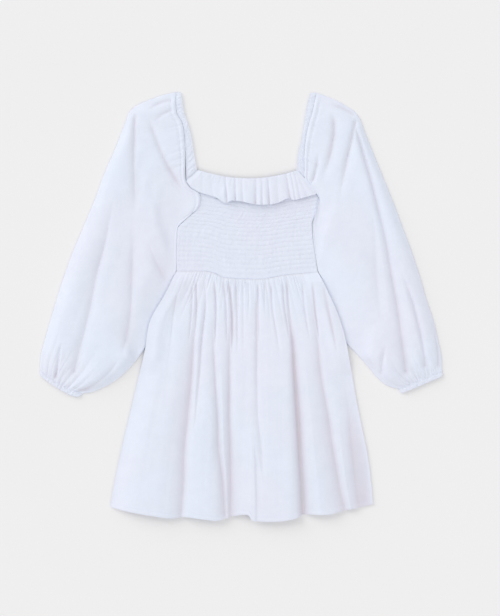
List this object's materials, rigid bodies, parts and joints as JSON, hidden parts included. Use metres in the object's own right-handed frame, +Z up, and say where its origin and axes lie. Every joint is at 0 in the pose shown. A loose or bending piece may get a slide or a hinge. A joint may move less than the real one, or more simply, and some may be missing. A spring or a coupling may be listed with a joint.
{
  "type": "puff sleeve dress",
  "caption": "White cotton dress laid flat, front up: square neck with a ruffle, shirred bodice, gathered skirt and long puff sleeves drawn in by elastic cuffs.",
  "frame": {"origin": "middle of the dress's box, on the surface that it lies on", "axes": "+Z up out of the front, +Y from the hem to the shoulders, +X to the right of someone who looks down at the front"},
  "size_m": [0.7994, 0.8494, 0.0149],
  "materials": {
    "white_cotton": "matt, plain weave",
    "shirred_cotton": "matt, drawn up on rows of elastic thread",
    "elastic_casing": "matt, puckered over elastic"
  },
  "bodies": {
    "root": {"bodice_back": "white_cotton", "bodice_front": "shirred_cotton", "neck_ruffle": "white_cotton", "skirt_back": "white_cotton", "skirt_front": "white_cotton", "sleeve_left": "white_cotton", "sleeve_right": "white_cotton", "cuff_left": "elastic_casing", "cuff_right": "elastic_casing", "neck_band_left": "elastic_casing", "neck_band_right": "elastic_casing"}
  },
  "joints": []
}
